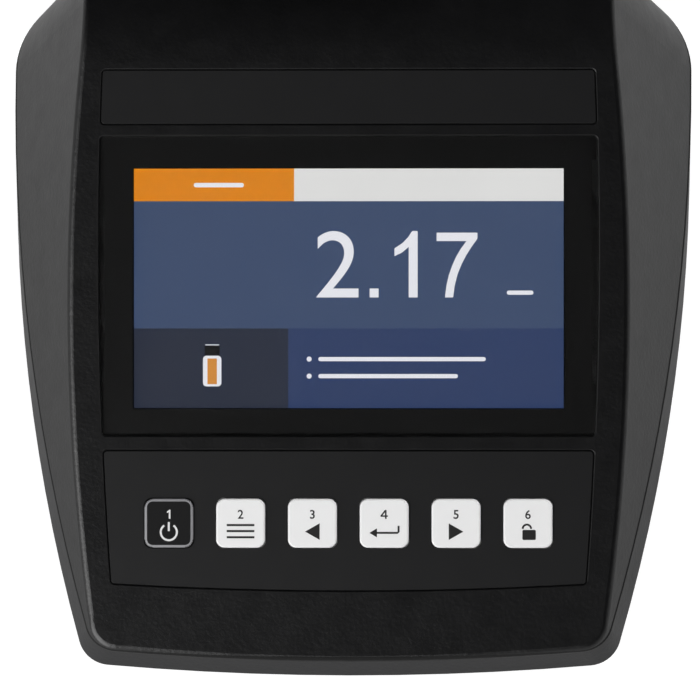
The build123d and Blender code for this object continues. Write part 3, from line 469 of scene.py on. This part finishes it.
def picture_marks():
    """Reading, plain lines and vial sign of the picture, over its fields."""
    white = screen_light("white", "#e9eaf0")
    cap = screen_light("black", "#07080b")
    amber = screen_light("amber_fill", "#d08a3c")
    figures("screen_reading_two", "2", FIGURE_TWO_MIDDLE, READING_LOW, READING_HEIGHT,
            SCREEN_LEFT, SCREEN_LOW, PANEL_TOP + 2 * INK, white, HOUSING, width=FIGURE_TWO_WIDTH)
    notes = []
    for row, width in NOTE_ROWS:
        notes.append(rounded(NOTE_DOT_X, row, NOTE_DOT_SIZE, NOTE_DOT_SIZE, NOTE_DOT_CORNER))
        notes.append(rounded(NOTE_LEFT + width / 2, row, width, NOTE_HEIGHT, NOTE_CORNER))
    for name, loops, light, layer in (
            ("reading_point", [POINT], white, 2), ("reading_one", [FIGURE_ONE], white, 2),
            ("reading_seven", [FIGURE_SEVEN], white, 2), ("unit_line", [UNIT_LINE], white, 2),
            ("title_line", [TITLE_LINE], white, 2), ("note_lines", notes, white, 2),
            ("vial_body", [VIAL_BODY], white, 2), ("vial_fill", [VIAL_FILL], amber, 4),
            ("vial_cap", [VIAL_CAP], cap, 3), ("vial_rim", [VIAL_RIM], white, 4)):
        show(name, loops, light, layer)


# Keys: a sign below the middle of each key and a number above it, counted from that middle

KEY_SLOPE = middle("keypad_board", UPHILL)
KEY_NUMBER_LOW = 1.6
KEY_NUMBER_HEIGHT = 3.2
KEY_NUMBER_WEIGHT = 0.013
KEY_ONE = [[(0.0, 1.6), (0.6, 1.6), (0.6, 4.8), (0.2, 4.8), (-0.65, 4.2), (-0.65, 3.6),
            (0.0, 3.95)]]
KEY_FOUR = [[(0.3, 1.6), (0.85, 1.6), (0.85, 2.35), (1.3, 2.35), (1.3, 2.85), (0.85, 2.85),
             (0.85, 4.8), (0.25, 4.8), (-1.3, 2.85), (-1.3, 2.35), (0.3, 2.35)],
            [(0.3, 2.85), (0.3, 4.0), (-0.6, 2.85)]]
POWER_SIGN = [band(0, -3.2, 2.9, 0.72, 125, 415), bar(0, -1.2, 0.72, 3.2)]
LIST_SIGN = [bar(0, row, 9.9, 0.75) for row in (-0.65, -2.8, -5.0)]
LEFT_SIGN = [[(-2.6, -2.95), (2.6, -5.9), (2.6, 0.0)]]
RIGHT_SIGN = [[(2.6, -2.95), (-2.6, 0.0), (-2.6, -5.9)]]
ENTER_SIGN = [[(-5.3, -3.4), (-2.6, -5.0), (-2.6, -3.75), (4.8, -3.75), (4.8, -0.9),
               (5.5, -0.9), (5.5, -3.05), (-2.6, -3.05), (-2.6, -1.8)]]
LOCK_SIGN = [rounded(0.4, -4.1, 4.8, 3.6, 0.5), band(-0.4, -1.9, 1.5, 0.7, 0, 180, 14),
             bar(1.1, -2.1, 0.7, 0.9)]
WHITE_KEYS = (("key_list", LIST_SIGN, "2"), ("key_left", LEFT_SIGN, "3"),
              ("key_enter", ENTER_SIGN, KEY_FOUR), ("key_right", RIGHT_SIGN, "5"),
              ("key_lock", LOCK_SIGN, "6"))


def key_legend(node, sign, number, ink_and_highlight):
    """Sign printed on one key, with its number over it as loops or as a plain figure."""
    x = middle(node, RIGHT)
    level = span(node, NORMAL)[1]
    pieces = [inlay(node + "_sign", sign, x, KEY_SLOPE, level, ink_and_highlight, node)]
    if isinstance(number, str):
        pieces.append(figures(node + "_figure", number, 0, KEY_NUMBER_LOW, KEY_NUMBER_HEIGHT, x,
                              KEY_SLOPE, level + INK, ink_and_highlight, node, weight=KEY_NUMBER_WEIGHT))
    else:
        pieces.append(inlay(node + "_figure", number, x, KEY_SLOPE, level, ink_and_highlight, node))


# Painted highlight: a grey ring on the soft edge of the black key, where its rounding catches
# light, from just inside the edge to part of the way down it
KEY_EDGE_ROUND = 0.8
KEY_CORNER = 3.0
RING_INNER = 0.15
RING_TURNS = (0, 25, 50, 72)


def key_half_width(node):
    """Half the width of a key's cap, without its flange."""
    top = span(node, NORMAL)[1] - 2 * KEY_EDGE_ROUND * MM
    x = middle(node, RIGHT)
    return max(abs(vertex.co.x - x) for vertex in frame["nodes"][node].data.vertices
               if vertex.co.dot(NORMAL) > top)


def painted_edge_highlight(node, ink_and_highlight):
    """Painted highlight: a grey ring round a key, over the soft edge of its top, where the
    rounding catches light.
    """
    x = middle(node, RIGHT)
    top = span(node, NORMAL)[1]
    size = 2 * key_half_width(node) / MM
    steps = [(KEY_EDGE_ROUND + RING_INNER, 0.0)]
    for turn in RING_TURNS:
        angle = math.radians(turn)
        steps.append((KEY_EDGE_ROUND * (1 - math.sin(angle)),
                      KEY_EDGE_ROUND * (1 - math.cos(angle))))
    points = []
    for inset, drop in steps:
        loop = rounded(0, 0, size - 2 * inset, size - 2 * inset, KEY_CORNER - inset)
        points += [RIGHT * (x + across * MM) + UPHILL * (KEY_SLOPE + up * MM)
                   + NORMAL * (top + INK - drop * MM) for across, up in loop]
    count = len(loop)
    faces = [(row + place, row + (place + 1) % count,
              row + count + (place + 1) % count, row + count + place)
             for row in range(0, len(points) - count, count) for place in range(count)]
    mesh = bpy.data.meshes.new(node + "_painted_highlight_ring")
    mesh.from_pydata(points, [], faces)
    mesh.materials.append(ink_and_highlight)
    ring = bpy.data.objects.new(node + "_painted_highlight_ring", mesh)
    bpy.context.scene.collection.objects.link(ring)
    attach(ring, node)


def key_legends():
    """Pale print and a painted highlight ring on the black key, and dark print on the white ones.
    """
    key_legend("key_power", POWER_SIGN, KEY_ONE, INK_LIGHT)
    painted_edge_highlight("key_power", PAINTED_EDGE_HIGHLIGHT)
    for node, sign, number in WHITE_KEYS:
        key_legend(node, sign, number, INK_DARK)


# Housing

# Painted shadow strip at the parting: its lift above the cover's foot, its height, and how far it
# stands off the wall
PARTING_SHADOW_LIFT = 0.5 * MM
PARTING_SHADOW_HEIGHT = 1.0 * MM
PARTING_SHADOW_PROUD = 0.015 * MM
WELD = 0.001 * MM


def painted_parting_shadow():
    """Painted shadow: a near-black strip all round the foot of the upper housing, cut from its own
    outer wall, in place of the shade of a gap at the parting.
    """
    mesh = bmesh.new()
    mesh.from_mesh(frame["nodes"]["top_cover"].data)
    bmesh.ops.remove_doubles(mesh, verts=mesh.verts, dist=WELD)
    low = min(vertex.co.z for vertex in mesh.verts) + PARTING_SHADOW_LIFT
    for level, side in ((low, -1), (low + PARTING_SHADOW_HEIGHT, 1)):
        bmesh.ops.bisect_plane(mesh, geom=mesh.verts[:] + mesh.edges[:] + mesh.faces[:],
                               plane_co=(0, 0, level), plane_no=(0, 0, side), clear_outer=True)
    outside = [max(mesh.faces, key=lambda face: face.calc_center_median().x)]
    kept = set(outside)
    for face in outside:
        near = {other for edge in face.edges for other in edge.link_faces} - kept
        kept |= near
        outside += near
    bmesh.ops.delete(mesh, geom=[face for face in mesh.faces if face not in kept],
                     context="FACES")
    mesh.normal_update()
    for vertex in mesh.verts:
        vertex.co += vertex.normal * PARTING_SHADOW_PROUD
    shadow_strip_mesh = bpy.data.meshes.new("painted_parting_shadow")
    mesh.to_mesh(shadow_strip_mesh)
    mesh.free()
    shadow_strip_mesh.materials.append(PAINTED_PARTING_SHADOW)
    piece = bpy.data.objects.new("painted_parting_shadow", shadow_strip_mesh)
    bpy.context.scene.collection.objects.link(piece)
    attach(piece, HOUSING)


# Stage, lights and camera

# The table's own glow as the camera sees it, and as gloss and the clear lens show it
FLOOR_GLOW_SEEN = 0.84
FLOOR_GLOW_REFLECTED = 0.26
FLOOR_REACH = 6.0
FLOOR_GRAIN = 3 * MM


def floor():
    """Matt white table top: a plain pale ground that keeps the object's shadow."""
    mesh = bpy.data.meshes.new("table_top")
    mesh.from_pydata([(-FLOOR_REACH, -FLOOR_REACH, 0), (FLOOR_REACH, -FLOOR_REACH, 0),
                      (FLOOR_REACH, FLOOR_REACH, 0), (-FLOOR_REACH, FLOOR_REACH, 0)], [],
                     [(0, 1, 2, 3)])
    top = bpy.data.objects.new("table_top", mesh)
    bpy.context.scene.collection.objects.link(top)
    material, tree, output, place = start_material("laminate_white_table")
    grain = add_node(tree, "ShaderNodeTexNoise", values={"Scale": 1 / FLOOR_GRAIN},
                     links={"Vector": place})
    gloss = add_node(tree, "ShaderNodeMapRange", values={"To Min": 0.7, "To Max": 0.8},
                     links={"Value": grain.outputs["Fac"]})
    path = add_node(tree, "ShaderNodeLightPath")
    reflected = add_node(tree, "ShaderNodeMath", {"operation": "MAXIMUM"})
    tree.links.new(path.outputs["Is Glossy Ray"], reflected.inputs[0])
    tree.links.new(path.outputs["Is Transmission Ray"], reflected.inputs[1])
    faint = add_node(tree, "ShaderNodeMapRange",
                     values={"To Min": 0.0, "To Max": FLOOR_GLOW_REFLECTED},
                     links={"Value": reflected.outputs["Value"]})
    glow = add_node(tree, "ShaderNodeMapRange", values={"To Max": FLOOR_GLOW_SEEN},
                    links={"Value": path.outputs["Is Camera Ray"],
                           "To Min": faint.outputs["Result"]})
    surface = add_node(tree, "ShaderNodeBsdfPrincipled",
                       values={"Base Color": linear("#a2a2a2"), "IOR": 1.45,
                               "Emission Color": linear("#ffffff")},
                       links={"Roughness": gloss.outputs["Result"],
                              "Emission Strength": glow.outputs["Result"]})
    tree.links.new(surface.outputs["BSDF"], output.inputs["Surface"])
    mesh.materials.append(material)


# Brightness of the tent at its sides and overhead; it fades from the one to the other while
# the upward part of the direction goes from the low to the high limit
TENT_SIDE = 0.5
TENT_TOP = 0.01
TENT_FADE_LOW = 0.25
TENT_FADE_HIGH = 0.6


def surroundings():
    """Studio tent: bright sides, dark overhead, white where the camera sees past the table."""
    world = bpy.data.worlds.new("studio_tent")
    world.use_nodes = True
    tree = world.node_tree
    tree.nodes.clear()
    output = add_node(tree, "ShaderNodeOutputWorld")
    direction = add_node(tree, "ShaderNodeTexCoord").outputs["Generated"]
    height = add_node(tree, "ShaderNodeSeparateXYZ", links={"Vector": direction})
    level = add_node(tree, "ShaderNodeMapRange", {"interpolation_type": "SMOOTHSTEP"},
                     {"From Min": TENT_FADE_LOW, "From Max": TENT_FADE_HIGH,
                      "To Min": TENT_SIDE, "To Max": TENT_TOP},
                     {"Value": height.outputs["Z"]})
    path = add_node(tree, "ShaderNodeLightPath")
    strength = add_node(tree, "ShaderNodeMath", {"operation": "MAXIMUM"})
    tree.links.new(path.outputs["Is Camera Ray"], strength.inputs[0])
    tree.links.new(level.outputs["Result"], strength.inputs[1])
    light = add_node(tree, "ShaderNodeBackground", values={"Color": linear("#ffffff")},
                     links={"Strength": strength.outputs["Value"]})
    tree.links.new(light.outputs["Background"], output.inputs["Surface"])
    bpy.context.scene.world = world


# Each softbox: its place, the length of its sides, its power, and whether gloss mirrors it
LAMP_TARGET = Vector((0, 0, 0.05))
SOFTBOXES = {
    "softbox_right": ((1.25, 0.95, 0.85), 1.6, 33, False),
    "softbox_left": ((-1.2, -1.2, 0.8), 1.8, 43, True),
}


def softboxes():
    """Square softboxes that face the object, out of the camera's sight."""
    for name, (place, size, power, mirrored) in SOFTBOXES.items():
        data = bpy.data.lights.new(name, "AREA")
        data.size = size
        data.energy = power
        box = bpy.data.objects.new(name, data)
        box.location = place
        box.visible_camera = False
        box.visible_glossy = mirrored
        box.rotation_euler = (LAMP_TARGET - Vector(place)).to_track_quat("-Z", "Y").to_euler()
        bpy.context.scene.collection.objects.link(box)


# The photograph's view: square on to the face, from slightly right of its middle line
VIEW_DISTANCE = 2.0
VIEW_WIDTH = 0.2504
VIEW_ASIDE = 0.050
VIEW_X = 0.6 * MM
VIEW_SLOPE_FROM_SCREEN = -22.1 * MM
SENSOR = 36.0


def photograph_camera():
    """Camera square on to the face."""
    face_level = span("name_strip", NORMAL)[1]
    target = (RIGHT * VIEW_X + UPHILL * (SCREEN_SLOPE + VIEW_SLOPE_FROM_SCREEN)
              + NORMAL * face_level)
    place = target + NORMAL * VIEW_DISTANCE + RIGHT * VIEW_ASIDE
    backward = (place - target).normalized()
    across = UPHILL.cross(backward).normalized()
    upward = backward.cross(across)
    data = bpy.data.cameras.new("photograph_camera")
    data.sensor_width = SENSOR
    data.lens = SENSOR * VIEW_DISTANCE / VIEW_WIDTH
    camera = bpy.data.objects.new("photograph_camera", data)
    turn = Matrix((across, upward, backward)).transposed().to_4x4()
    camera.matrix_world = Matrix.Translation(place) @ turn
    bpy.context.scene.collection.objects.link(camera)
    bpy.context.scene.camera = camera


lens_border()
lit_picture()
picture_marks()
key_legends()
painted_parting_shadow()
floor()
surroundings()
softboxes()
photograph_camera()
bpy.context.scene.view_settings.view_transform = "Standard"
